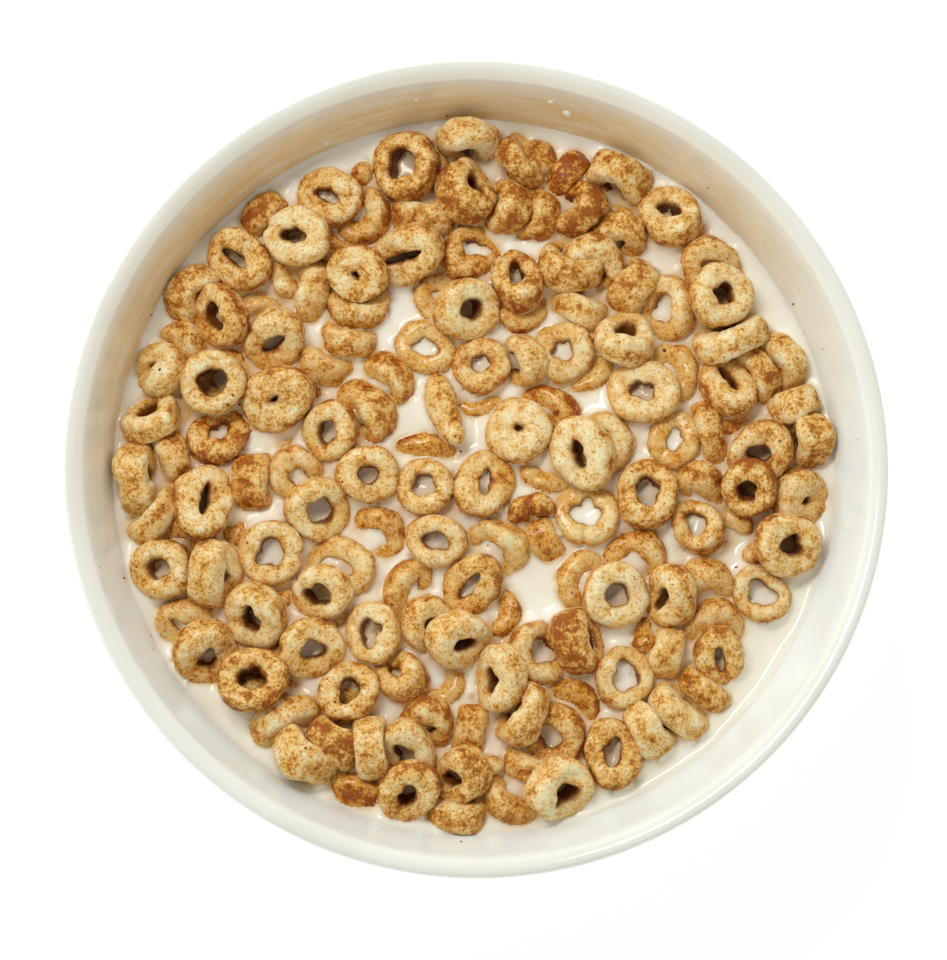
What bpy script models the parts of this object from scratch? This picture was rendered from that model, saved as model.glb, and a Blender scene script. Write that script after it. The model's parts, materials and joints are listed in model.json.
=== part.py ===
"""A bowl of ring-shaped cereal in milk: a glazed bowl on a foot ring, the milk in it, the floating cereal.

Run it with: blender --background --python part.py
Units are metres and +Z is up. The origin is the middle of the foot ring, on the plane it stands on.
"""

import math
import random

import bmesh
import bpy
from mathutils import Vector
from mathutils.geometry import interpolate_bezier

MM = 0.001

# Bowl
RIM_RADIUS = 80 * MM
BOWL_HEIGHT = 62 * MM
WALL = 4 * MM
FOOT_RADIUS = 38 * MM
FOOT_WIDTH = 4 * MM
FOOT_HEIGHT = 3.6 * MM
FOOT_EASE = 0.6 * MM
FLOOR_THICKNESS = 5.4 * MM
WALL_POINTS = 8
LIP_POINTS = 3
TURN_STEPS = 60

# The wall's curves from foot to lip, as radius and height: each is one Bezier stretch
FLOOR_LEVEL = FOOT_HEIGHT + FLOOR_THICKNESS
LIP_LEVEL = BOWL_HEIGHT - WALL / 2
INSIDE_CURVE = (
    (22 * MM, FLOOR_LEVEL),
    (50 * MM, FLOOR_LEVEL),
    (66 * MM, 27 * MM),
    (RIM_RADIUS - WALL, LIP_LEVEL),
)
OUTSIDE_CURVE = (
    (FOOT_RADIUS + 1 * MM, FOOT_HEIGHT),
    (58 * MM, 7 * MM),
    (70.5 * MM, 27 * MM),
    (RIM_RADIUS, LIP_LEVEL),
)

# Milk
MILK_LEVEL = BOWL_HEIGHT - 17 * MM
FIT_GAP = 0.3 * MM

# Cereal
RING_RADIUS = 6.5 * MM
RING_HOLE_RADIUS = 3 * MM
DIMPLE_DEPTH = 2.4 * MM
RING_HEIGHT = 6.2 * MM
RING_COUNT = 96
RING_SHIFT = 1.6 * MM
RING_TILT = 0.15
RING_LIFTS = (0 * MM, 3.4 * MM)
HEAP_LIMIT = 8.5 * MM
WALL_GAP = 2.2 * MM
DRAUGHT = 7 * MM
DRAUGHT_TAPER = 4 * MM
EDGE_RISE = 0.8 * MM
HEAP_CELLS = 48
HEAP_SEED = 11
SCALLOPS = 33
SCALLOP_DEPTH = 0.7 * MM
GOLDEN_ANGLE = math.pi * (3 - math.sqrt(5))

# Where open milk shows at the wall: direction in degrees, half width in degrees, depth
MILK_BAYS = (
    (30, 9, 7 * MM),
    (-32, 11, 8 * MM),
    (-58, 9, 4 * MM),
    (113, 9, 3 * MM),
    (232, 9, 2.5 * MM),
)


def clear_scene():
    for thing in list(bpy.data.objects):
        bpy.data.objects.remove(thing)


def collection(name):
    made = bpy.data.collections.new(name)
    bpy.context.scene.collection.children.link(made)
    return made


def material(name, colour, roughness, coat=0.0):
    made = bpy.data.materials.new(name)
    made.use_nodes = True
    shader = made.node_tree.nodes["Principled BSDF"]
    shader.inputs["Base Color"].default_value = (*colour, 1)
    shader.inputs["Roughness"].default_value = roughness
    shader.inputs["Metallic"].default_value = 0.0
    shader.inputs["Coat Weight"].default_value = coat
    return made


def add_object(name, mesh, home, finish=None):
    made = bpy.data.objects.new(name, mesh)
    home.objects.link(made)
    if finish is not None:
        mesh.materials.append(finish)
    return made


def wall_points(curve):
    """Points up one side of the wall, from the foot or floor to the lip, both ends included."""
    knots = [Vector((radius, 0, height)) for radius, height in curve]
    return interpolate_bezier(*knots, WALL_POINTS)


def lip_points():
    """The round lip over the top of the wall, from its inner to its outer side, ends left out."""
    middle = Vector((RIM_RADIUS - WALL / 2, 0, LIP_LEVEL))
    turns = [math.pi * (1 - step / (LIP_POINTS + 1)) for step in range(1, LIP_POINTS + 1)]
    return [middle + Vector((math.cos(turn), 0, math.sin(turn))) * (WALL / 2) for turn in turns]


def foot_points():
    """The foot ring: its outer side, its flat underside and the recess inside it."""
    inside = FOOT_RADIUS - FOOT_WIDTH
    outline = (
        (FOOT_RADIUS, FOOT_EASE),
        (FOOT_RADIUS - FOOT_EASE, 0),
        (inside + FOOT_EASE, 0),
        (inside, FOOT_EASE),
        (inside - FOOT_EASE, FOOT_HEIGHT),
        (0, FOOT_HEIGHT),
    )
    return [Vector((radius, 0, height)) for radius, height in outline]


def turned(name, points, home, finish):
    """A solid of revolution from an outline that starts and ends on the axis."""
    mesh = bpy.data.meshes.new(name)
    edges = [(index, index + 1) for index in range(len(points) - 1)]
    mesh.from_pydata(points, edges, [])
    made = add_object(name, mesh, home, finish)
    screw = made.modifiers.new("Turn", "SCREW")
    screw.axis = "Z"
    screw.angle = math.tau
    screw.steps = TURN_STEPS
    screw.render_steps = TURN_STEPS
    screw.use_merge_vertices = True
    screw.merge_threshold = 0.00001
    screw.use_smooth_shade = True
    return made


def make_bowl(home):
    glaze = material("Off-white glazed stoneware", (0.86, 0.85, 0.79), 0.12, coat=0.5)
    floor_middle = Vector((0, 0, FLOOR_LEVEL))
    outside = reversed(wall_points(OUTSIDE_CURVE))
    outline = [floor_middle, *wall_points(INSIDE_CURVE), *lip_points(), *outside, *foot_points()]
    return turned("bowl", outline, home, glaze)


def milk_radius():
    """Radius of the bowl's inside at the milk's level."""
    wall = wall_points(INSIDE_CURVE)
    for below, above in zip(wall, wall[1:]):
        if below.z <= MILK_LEVEL <= above.z:
            share = (MILK_LEVEL - below.z) / (above.z - below.z)
            return below.x + (above.x - below.x) * share
    raise ValueError("the milk's level is above the wall or below its floor")


def make_milk(home, cutters):
    cream = material("Whole milk", (0.88, 0.84, 0.76), 0.12)
    wetted = [point for point in wall_points(INSIDE_CURVE) if point.z < MILK_LEVEL - FIT_GAP]
    side = [point + Vector((-FIT_GAP, 0, FIT_GAP)) for point in reversed(wetted)]
    surface_middle = Vector((0, 0, MILK_LEVEL))
    surface_edge = Vector((milk_radius() - FIT_GAP, 0, MILK_LEVEL))
    floor_middle = Vector((0, 0, FLOOR_LEVEL + FIT_GAP))
    milk = turned("milk", [surface_middle, surface_edge, *side, floor_middle], home, cream)
    hollow_mesh = heap_mesh("cereal_hollow", FIT_GAP, lambda place: EDGE_RISE)
    hollow = add_object("cereal_hollow", hollow_mesh, cutters)
    hollow.hide_render = True
    hollow.display_type = "WIRE"
    cut = milk.modifiers.new("Hollow under the cereal", "BOOLEAN")
    cut.operation = "DIFFERENCE"
    cut.object = hollow
    return milk


def heap_radius(turn):
    """How far out the cereal lies in one direction, less where a bay of open milk shows."""
    radius = milk_radius() - WALL_GAP
    for middle, half_width, depth in MILK_BAYS:
        apart = (math.degrees(turn) - middle + 180) % 360 - 180
        radius -= depth * math.exp(-((apart / half_width) ** 2))
    return radius - SCALLOP_DEPTH * (1 + math.cos(SCALLOPS * turn)) / 2


def ring_places():
    """Middle, tilt and lift of each ring on top, spread as evenly as the seeds of a sunflower."""
    chance = random.Random(HEAP_SEED)
    spread = milk_radius() - RING_RADIUS
    places = []
    for index in range(RING_COUNT):
        outwards = spread * math.sqrt((index + 0.5) / RING_COUNT)
        turn = index * GOLDEN_ANGLE
        shift = Vector((chance.uniform(-1, 1), chance.uniform(-1, 1))) * RING_SHIFT
        middle = Vector((math.cos(turn), math.sin(turn))) * outwards + shift
        tilt = Vector((chance.gauss(0, RING_TILT), chance.gauss(0, RING_TILT)))
        lift = chance.uniform(*RING_LIFTS)
        places.append((middle, tilt, lift))
    return places


def ring_top(outwards):
    """Height of a ring's upper side above its middle plane, by the distance from its middle."""
    crown = RING_HEIGHT / 2 * (1 - (outwards / RING_RADIUS) ** 4)
    dimple = DIMPLE_DEPTH * max(0, 1 - outwards / RING_HOLE_RADIUS)
    return crown - dimple


def heap_top(places):
    """A function that gives the top of the heap above the milk level at a place."""

    def top(place):
        highest = EDGE_RISE
        for middle, tilt, lift in places:
            apart = place - middle
            if apart.length < RING_RADIUS:
                highest = max(highest, lift + tilt.dot(apart) + ring_top(apart.length))
        return min(highest, HEAP_LIMIT)

    return top


def heap_mesh(name, grow, top):
    """The cereal's body: a round cap of grid cells with uneven height, a side, and a flat underside.

    grow widens it all round, and deepens it, for the hollow that it leaves in the milk.
    """
    work = bmesh.new()
    bmesh.ops.create_grid(work, x_segments=HEAP_CELLS, y_segments=HEAP_CELLS, size=1)
    edge = [line for line in work.edges if line.is_boundary]
    skirt = bmesh.ops.extrude_edge_only(work, edges=edge)["geom"]
    low = {item for item in skirt if isinstance(item, bmesh.types.BMVert)}
    for point in work.verts:
        across, along = point.co.x, point.co.y
        # The square grid is pressed into a round one.
        unit = Vector((across * math.sqrt(1 - along**2 / 2), along * math.sqrt(1 - across**2 / 2)))
        reach = heap_radius(math.atan2(unit.y, unit.x)) + grow
        if point in low:
            place = unit * (reach - DRAUGHT_TAPER)
            point.co = (place.x, place.y, MILK_LEVEL - DRAUGHT - grow)
        else:
            place = unit * reach
            at_edge = unit.length > 0.999
            point.co = (place.x, place.y, MILK_LEVEL + (EDGE_RISE if at_edge else top(place)))
    bmesh.ops.contextual_create(work, geom=[line for line in work.edges if line.is_boundary])
    bmesh.ops.recalc_face_normals(work, faces=work.faces)
    mesh = bpy.data.meshes.new(name)
    work.to_mesh(mesh)
    work.free()
    return mesh


def make_cereal(home):
    crust = material("Toasted oat cereal", (0.62, 0.41, 0.17), 0.7)
    mesh = heap_mesh("cereal", 0, heap_top(ring_places()))
    mesh.shade_smooth()
    mesh.set_sharp_from_angle(angle=math.radians(50))
    return add_object("cereal", mesh, home, crust)


def main():
    clear_scene()
    part = collection("Bowl of cereal")
    cutters = collection("Cutters")
    make_bowl(part)
    make_milk(part, cutters)
    make_cereal(part)


main()
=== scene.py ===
"""Looks of a bowl of ring-shaped cereal in milk, as an add-on with one operator for each kind of piece.

Units are metres and +Z is up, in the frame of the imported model.
"""

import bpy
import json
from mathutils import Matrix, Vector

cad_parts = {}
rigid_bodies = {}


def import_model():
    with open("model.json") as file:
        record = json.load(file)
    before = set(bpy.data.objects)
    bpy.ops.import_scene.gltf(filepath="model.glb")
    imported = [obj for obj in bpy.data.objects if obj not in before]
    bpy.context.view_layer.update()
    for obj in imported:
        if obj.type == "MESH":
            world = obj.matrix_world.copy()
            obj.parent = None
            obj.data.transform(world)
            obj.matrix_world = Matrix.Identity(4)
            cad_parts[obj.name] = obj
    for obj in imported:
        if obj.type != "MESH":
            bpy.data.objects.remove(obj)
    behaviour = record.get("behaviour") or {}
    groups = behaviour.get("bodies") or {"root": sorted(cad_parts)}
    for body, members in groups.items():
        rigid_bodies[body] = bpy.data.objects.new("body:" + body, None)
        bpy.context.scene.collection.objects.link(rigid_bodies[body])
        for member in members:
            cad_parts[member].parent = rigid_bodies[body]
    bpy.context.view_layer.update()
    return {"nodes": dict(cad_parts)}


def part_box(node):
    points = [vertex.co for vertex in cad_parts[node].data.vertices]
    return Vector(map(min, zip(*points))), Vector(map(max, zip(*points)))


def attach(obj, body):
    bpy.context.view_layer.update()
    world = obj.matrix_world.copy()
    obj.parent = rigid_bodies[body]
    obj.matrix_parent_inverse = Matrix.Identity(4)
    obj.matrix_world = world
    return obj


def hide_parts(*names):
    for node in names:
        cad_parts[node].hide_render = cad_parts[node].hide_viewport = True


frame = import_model()

import itertools
import json
import math
from functools import partial

import bmesh
import bpy
import numpy as np
from bpy.props import FloatProperty, FloatVectorProperty, IntProperty, PointerProperty
from mathutils import Matrix, Vector
from mathutils.bvhtree import BVHTree
from mathutils.geometry import interpolate_bezier

bl_info = {
    "name": "Bowl of Cereal",
    "version": (1, 0, 0),
    "blender": (4, 5, 0),
    "location": "3D View > Sidebar > Cereal",
    "description": "Turns a glazed bowl, fills it with milk and floats toasted oat rings in it",
    "category": "Object",
}

MM = 0.001
BOWL_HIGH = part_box("bowl")[1]
MILK_LOW, MILK_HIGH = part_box("milk")
HEAP_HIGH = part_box("cereal")[1]
BODY = "root"

# The bowl's section
WALL = 4 * MM
FOOT_RADIUS = 38 * MM
FOOT_WIDTH = 4 * MM
FOOT_HEIGHT = 3.6 * MM
FOOT_EASE = 0.6 * MM
FOOT_STEPS = 4
FIT_GAP = 0.3 * MM
FLOOR_LEVEL = MILK_LOW.z - FIT_GAP
FLOOR_REACH = 22 * MM
INNER_HANDLES = ((50 * MM, FLOOR_LEVEL), (66 * MM, 27 * MM))
OUTER_HANDLES = ((70.5 * MM, 27 * MM), (58 * MM, 7 * MM))
TURN_STEPS = 144
WALL_POINTS = 44
LIP_POINTS = 15
LIP_ROLL = 0.8 * MM
LIP_SLOPE = 1.7


def linear(code):
    """The linear red, green, blue and alpha of an sRGB hex colour."""
    shares = [int(code[place:place + 2], 16) / 255 for place in (0, 2, 4)]
    lit = [share / 12.92 if share <= 0.04045 else ((share + 0.055) / 1.055) ** 2.4 for share in shares]
    return [*lit, 1.0]


def colour_property(name, description, code):
    return FloatVectorProperty(name=name, description=description, default=linear(code), size=4,
                               min=0, max=1, subtype="COLOR")


def length_property(name, description, default):
    return FloatProperty(name=name, description=description, default=default, min=0,
                         precision=5, subtype="DISTANCE", unit="LENGTH")


def count_property(name, description, default, least=1):
    return IntProperty(name=name, description=description, default=default, min=least)


def share_property(name, description, default, least=0.0):
    return FloatProperty(name=name, description=description, default=default, min=least)


class BowlSettings(bpy.types.PropertyGroup):
    rim_radius: length_property("Rim radius", "Outer radius of the rim", BOWL_HIGH.x)
    height: length_property("Height", "From the foot's underside to the top of the lip", BOWL_HIGH.z)
    glaze: colour_property("Glaze", "Colour of the thick glaze", "E2E2D9")
    pooled: colour_property("Pooled glaze", "Colour where the glaze has run thicker", "DCDDD2")
    lining: colour_property("Lining", "Colour of the thinner glaze inside", "E8EFED")
    # Milk stain: partly dried milk, partly painted shade and warm bounce on the wall's shaded side.
    stain_and_shade: colour_property("Milk stain", "Colour of the dried milk and cinnamon on the wall", "DCBF89")
    clay: colour_property("Clay", "Colour of the bare foot", "CDBFA8")


class MilkSettings(bpy.types.PropertyGroup):
    level: length_property("Level", "Height of the flat milk", MILK_HIGH.z)
    reach: length_property("Meniscus reach", "How far out the milk's raised edge falls off", 1.5 * MM)
    climb: length_property("Climb", "How high the milk climbs a piece or the wall", 2.2 * MM)
    drops: count_property("Drops", "Milk drops on the wall", 18)
    cream: colour_property("Milk", "Colour of the milk", "F6F2E3")
    settled: colour_property("Settled milk", "Colour where a little cinnamon has washed into it", "F0E9D5")
    tinted: colour_property("Thin milk", "Colour of a thin film of milk over cereal", "DDB87C")
    # Steeped milk: painted shade, darker and warmer milk where it is shut in between the rings.
    shut_in_shade: colour_property("Steeped milk", "Colour of milk shut in between the rings", "C08C50")


class CerealSettings(bpy.types.PropertyGroup):
    ring_radius: length_property("Ring radius", "Mean outer radius of a ring", 6.3 * MM)
    ring_height: length_property("Ring height", "Mean thickness of a ring along its axis", 6.1 * MM)
    soaked_pieces: count_property("Soaked pieces", "Pieces that went in first", 104)
    dry_pieces: count_property("Dry pieces", "Pieces that fell on top of those", 132)
    soaked_weight: share_property("Soaked weight", "Weight of a soaked piece against milk's", 0.76, 0.1)
    dry_weight: share_property("Dry weight", "Weight of a dry piece against milk's", 0.52, 0.1)
    crumbs: count_property("Crumbs", "Crumbs on the milk and on the rings", 110)
    wall_crumbs: count_property("Wall crumbs", "Crumbs stuck to the wall", 16, 0)
    seed: IntProperty(name="Seed", description="Chooses the shapes and the heap", default=14)
    crust: colour_property("Crust", "Colour of the pale puffed crust", "E9E0B6")
    toast: colour_property("Toast", "Colour of its toasted grains", "DFAB49")
    browned: colour_property("Browned", "Colour of its browned patches", "7E3107")
    freckles: colour_property("Freckles", "Colour of the small browned bubbles", "9F4E11")
    cinnamon: colour_property("Cinnamon", "Colour of the cinnamon dust", "7C340A")
    # Hollow: cinnamon deep in the holes, and painted shade there.
    hollow: colour_property("Hollow", "Colour deep inside the holes", "5E2403")
    soak: colour_property("Soak", "What soaked-in milk leaves of the light", "F3D79C")


class StageSettings(bpy.types.PropertyGroup):
    floor: colour_property("Floor", "Colour of the floor", "A2A2A0")
    scuffed: colour_property("Scuffed floor", "Colour where the floor is a little scuffed", "9E9E9C")
    daylight: colour_property("Lamp", "Colour of the main light", "FFFFFF")
    cloth: colour_property("Tent", "Colour of the light through the tent's cloth", "FFFFFB")
    key_power: FloatProperty(name="Key power", description="Power of the main light", default=4.4, min=0,
                             unit="POWER")
    sky: share_property("Fill", "Strength of the even light from above", 0.66)
    window: share_property("Window", "How much brighter the tent is towards the window", 0.25)
    glow: share_property("Side fill", "Strength of the tent's sides low down", 1.35)
    camera_range: length_property("Camera distance", "From the rim's middle to the camera", 0.6)


SMOOTH = {"interpolation_type": "SMOOTHSTEP"}
COLOURS = {"data_type": "RGBA"}


def add_node(tree, kind, inputs=None, **settings):
    """Adds one shader node with its settings, and gives each input, by its name or place, a value or a link.

    A link may come from a socket, or from a node, which then stands for the first of its outputs in use.
    """
    made = tree.nodes.new("ShaderNode" + kind)
    for name, value in settings.items():
        setattr(made, name, value)
    for name, value in (inputs or {}).items():
        if isinstance(name, int):
            socket = made.inputs[name]
        else:
            socket = next(found for found in made.inputs if found.name == name and found.enabled)
        if isinstance(value, bpy.types.Node):
            value = next(found for found in value.outputs if found.enabled)
        if isinstance(value, bpy.types.NodeSocket):
            tree.links.new(value, socket)
        else:
            socket.default_value = value
    return made


def new_material(name):
    """An empty node material, what adds a node to it, and its object coordinates in millimetres.

    With those a pattern's scale is one over its real size.
    """
    made = bpy.data.materials.new(name)
    made.use_nodes = True
    made.node_tree.nodes.clear()
    add = partial(add_node, made.node_tree)
    place = add("TexCoord").outputs["Object"]
    return made, add, add("VectorMath", {0: place, 3: 1 / MM}, operation="SCALE")


def coated(add, colour, pattern, bare, full, coat, most=1.0):
    """The colour under a coat, which goes from nothing where the pattern is bare to most where it is full."""
    share = add("MapRange", {"Value": pattern, "From Min": bare, "From Max": full, "To Max": most}, **SMOOTH)
    return add("Mix", {"Factor": share, "A": colour, "B": coat}, **COLOURS)


def stood(name, data):
    """A new object in the scene for a mesh, a light or a camera."""
    made = bpy.data.objects.new(name, data)
    bpy.context.scene.collection.objects.link(made)
    return made


def round_axis(reach, turn, height):
    """Points at a reach and a direction from the Z axis, and at a height."""
    return np.stack(np.broadcast_arrays(reach * np.cos(turn), reach * np.sin(turn), height), -1)


def apart(turn, other):
    """How far one direction is from another, from minus half a turn to half a turn."""
    return (turn - other + math.pi) % math.tau - math.pi


# Bowl


def wall_curve(start, handles, end):
    knots = [Vector((radius, 0, height)) for radius, height in (start, *handles, end)]
    return [(point.x, point.z) for point in interpolate_bezier(*knots, WALL_POINTS)]


def inner_wall(sizes):
    """Radius and height up the bowl's inside, from the edge of its flat floor to the start of the lip."""
    lip = (sizes.rim_radius - WALL, sizes.height - WALL / 2)
    return wall_curve((FLOOR_REACH, FLOOR_LEVEL), INNER_HANDLES, lip)


def outer_wall(sizes):
    """Radius and height down the bowl's outside, from the end of the lip to the foot."""
    lip = (sizes.rim_radius, sizes.height - WALL / 2)
    return wall_curve(lip, OUTER_HANDLES, (FOOT_RADIUS + 1 * MM, FOOT_HEIGHT))


def inner_radius(level, sizes):
    """Radius of the bowl's inside at one height or at many."""
    radii, heights = zip(*inner_wall(sizes))
    return np.interp(level, heights, radii)


def lip_arc(sizes):
    """The lip from inside to outside, ends left out: a gentle slope up, then a tight roll over."""
    crest = sizes.rim_radius - LIP_ROLL
    up = sizes.height - WALL / 2
    turns = [math.pi * (1 - step / (LIP_POINTS + 1)) for step in range(1, LIP_POINTS + 1)]
    slope = [(crest + (WALL - LIP_ROLL) * math.cos(turn), up + WALL / 2 * math.sin(turn) ** LIP_SLOPE)
             for turn in turns if turn > math.pi / 2]
    roll = [(crest + LIP_ROLL * math.cos(turn), up + WALL / 2 * math.sin(turn))
            for turn in turns if turn <= math.pi / 2]
    return slope + roll


def foot_outline():
    """The foot ring's outer side, its narrow flat underside and the recess inside it."""
    inside = FOOT_RADIUS - FOOT_WIDTH
    bend = [math.pi / 2 * step / FOOT_STEPS for step in range(FOOT_STEPS + 1)]
    outer = [(FOOT_RADIUS - FOOT_EASE + FOOT_EASE * math.cos(turn), FOOT_EASE - FOOT_EASE * math.sin(turn))
             for turn in bend]
    inner = [(inside + FOOT_EASE - FOOT_EASE * math.sin(turn), FOOT_EASE - FOOT_EASE * math.cos(turn))
             for turn in bend]
    return [*outer, *inner, (inside - FOOT_EASE, FOOT_HEIGHT), (inside / 2, FOOT_HEIGHT), (0, FOOT_HEIGHT)]


def turned(name, outline):
    """A solid of revolution from an outline in radius and height that starts and ends on the axis."""
    mesh = bpy.data.meshes.new(name)
    points = [(radius, 0, height) for radius, height in outline]
    mesh.from_pydata(points, [(index, index + 1) for index in range(len(points) - 1)], [])
    made = stood(name, mesh)
    screw = made.modifiers.new("Turn", "SCREW")
    screw.steps = screw.render_steps = TURN_STEPS
    screw.use_merge_vertices = True
    screw.merge_threshold = 0.01 * MM
    screw.use_smooth_shade = True
    return made


def glaze_material(settings):
    """Off-white glazed stoneware, thrown, dipped and fired: a glossy coat that pools a little and is thinner
    inside, with faint turning rings under it, dried milk and painted shade on the wall, and a bare foot."""
    made, add, place = new_material("Off-white glazed stoneware")
    parts = add("SeparateXYZ", {0: place}).outputs
    up = parts["Z"]
    flat = add("CombineXYZ", {"X": parts["X"], "Y": parts["Y"]})
    radius = add("VectorMath", {0: flat}, operation="LENGTH")
    cloud = add("TexNoise", {"Vector": place, "Scale": 1 / 26, "Detail": 3})
    colour = coated(add, settings.glaze, cloud, 0.35, 0.7, settings.pooled)

    # The lining: over the milk, everything nearer the axis than the middle of the wall.
    level = MILK_HIGH.z / MM
    top = settings.height / MM
    low, high = (float(inner_radius(height * MM, settings) + WALL / 2) / MM for height in (level, top))
    core = add("MapRange", {"Value": up, "From Min": level, "From Max": top, "To Min": low, "To Max": high})
    inside = add("Math", {0: core, 1: radius}, operation="SUBTRACT")
    inside = add("MapRange", {"Value": inside, "From Min": -0.3, "From Max": 0.3}, **SMOOTH)
    above = add("MapRange", {"Value": up, "From Min": level - 1, "From Max": level + 1}, **SMOOTH)
    inside = add("Math", {0: inside, 1: above}, operation="MULTIPLY")
    under = add("MapRange", {"Value": up, "From Min": top - 0.3, "From Max": top - 3}, **SMOOTH)
    lined = add("Math", {0: inside, 1: under}, operation="MULTIPLY")
    colour = add("Mix", {"Factor": lined, "A": colour, "B": settings.lining}, **COLOURS)

    # Dried milk and painted shade: a broken warm band over the milk, darkest low down and on the side towards
    # the lamp, where the wall lies in shade and takes the cereal's warm bounce.
    head = add("MapRange", {"Value": up, "From Min": level + 20, "From Max": level + 7}, **SMOOTH)
    swept = add("VectorMath", {0: place, 1: (1, 1, 8)}, operation="MULTIPLY")
    splash = add("TexNoise", {"Vector": swept, "Scale": 1 / 11, "Detail": 4, "Roughness": 0.6})
    broken = add("MapRange", {"Value": splash, "From Min": 0.28, "From Max": 0.7, "To Min": 0.68}, **SMOOTH)
    # The side towards the lamp, where the inside of the wall lies in shade.
    shaded_side = add("VectorMath", {0: place, 1: (-0.3, 0.95, 0)}, operation="DOT_PRODUCT").outputs["Value"]
    band = add("MapRange", {"Value": shaded_side, "From Min": -25, "From Max": 60, "To Min": 0.03}, **SMOOTH)
    for share in (head, inside, broken):
        band = add("Math", {0: band, 1: share}, operation="MULTIPLY")
    colour = add("Mix", {"Factor": band, "A": colour, "B": settings.stain_and_shade}, **COLOURS)

    # The bare foot, and what the light catches in the coat: turning rings, orange peel and smears.
    bare = add("MapRange", {"Value": up, "From Min": 0.75, "From Max": 0.55}, **SMOOTH)
    colour = add("Mix", {"Factor": bare, "A": colour, "B": settings.clay}, **COLOURS)
    section = add("CombineXYZ", {"X": radius, "Z": up})
    rings = add("TexNoise", {"Vector": section, "Scale": 1 / 2.4})
    relief = add("Bump", {"Height": rings, "Strength": 0.5, "Distance": 0.035 * MM})
    peel = add("TexNoise", {"Vector": place, "Scale": 1 / 5, "Detail": 1})
    relief = add("Bump", {"Height": peel, "Strength": 0.5, "Distance": 0.04 * MM, "Normal": relief})
    smears = add("TexNoise", {"Vector": place, "Scale": 1 / 12, "Detail": 4})
    gloss = add("MapRange", {"Value": smears, "From Min": 0.3, "From Max": 0.7, "To Min": 0.09,
                             "To Max": 0.16}, **SMOOTH)
    gloss = add("Math", {0: bare, 1: 0.6, 2: gloss}, operation="MULTIPLY_ADD")
    shader = add("BsdfPrincipled", {"Base Color": colour, "Roughness": gloss, "Normal": relief, "IOR": 1.5})
    add("OutputMaterial", {"Surface": shader})
    return made


# Cereal

RING_STEPS = 56
TUBE_STEPS = 28
BALLS = 8
LATTICE = 24


def lattice(chance):
    """A block of random numbers that lumps() reads its shapes from."""
    return chance.uniform(-1, 1, (LATTICE, LATTICE, LATTICE))


def lumps(places, size, block):
    """Smooth noise from -1 to 1 at each place, with lumps about as wide as size."""
    scaled = places / size
    low = np.floor(scaled).astype(int)
    share = scaled - low
    share = share * share * (3 - 2 * share)
    total = np.zeros(places.shape[:-1])
    for corner in itertools.product((0, 1), repeat=3):
        spot = (low + corner) % block.shape[0]
        weight = np.where(np.array(corner) == 1, share, 1 - share).prod(-1)
        total += weight * block[spot[..., 0], spot[..., 1], spot[..., 2]]
    return total


def wave(turn, terms, chance):
    """A sum of cosines round a ring: terms gives each one's number of lobes and its mean size."""
    total = np.zeros_like(turn)
    for lobes, size in terms:
        total += abs(chance.normal(size, size * 0.4)) * np.cos(lobes * (turn + chance.uniform(0, math.tau)))
    return total


def ellipse(turn, roundness, heading):
    """Radius, by direction, of an ellipse with the area of a unit circle."""
    wide, narrow = roundness**-0.5, roundness**0.5
    return 1 / np.hypot(narrow ** -1 * np.sin(turn - heading), wide ** -1 * np.cos(turn - heading))


def eased(value, power):
    """value between -1 and 1, pushed out towards its ends as a squarer section needs."""
    return np.sign(value) * np.abs(value) ** power


# Each kind of piece: its share of the whole, its hole's radius against its own, and how round the outline and
# the hole are, from 0, a slit, to 1.
KINDS = {
    "round_rings": {"share": 0.27, "hole": 0.32, "round": 0.95, "hole_round": 0.85},
    "open_rings": {"share": 0.14, "hole": 0.37, "round": 0.9, "hole_round": 0.78},
    "oval_rings": {"share": 0.23, "hole": 0.3, "round": 0.85, "hole_round": 0.62},
    "pinched_rings": {"share": 0.2, "hole": 0.25, "round": 0.84, "hole_round": 0.38},
    "closed_rings": {"share": 0.1, "hole": 0.07, "round": 0.9, "hole_round": 0.5},
    "broken_pieces": {"share": 0.06},
}


def outward(turn, around):
    """Unit directions out of a round tube that is bent into a ring."""
    return round_axis(np.cos(around), turn, np.sin(around))


def roughened(points, outwards, block):
    """Puffed dough's lumps: the points moved along their outward directions."""
    relief = 0.26 * lumps(points, 3.4 * MM, block) + 0.15 * lumps(points + 0.05, 1.6 * MM, block)
    relief += 0.09 * lumps(points + 0.09, 0.85 * MM, block)
    return points + outwards * relief[..., None] * MM


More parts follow.
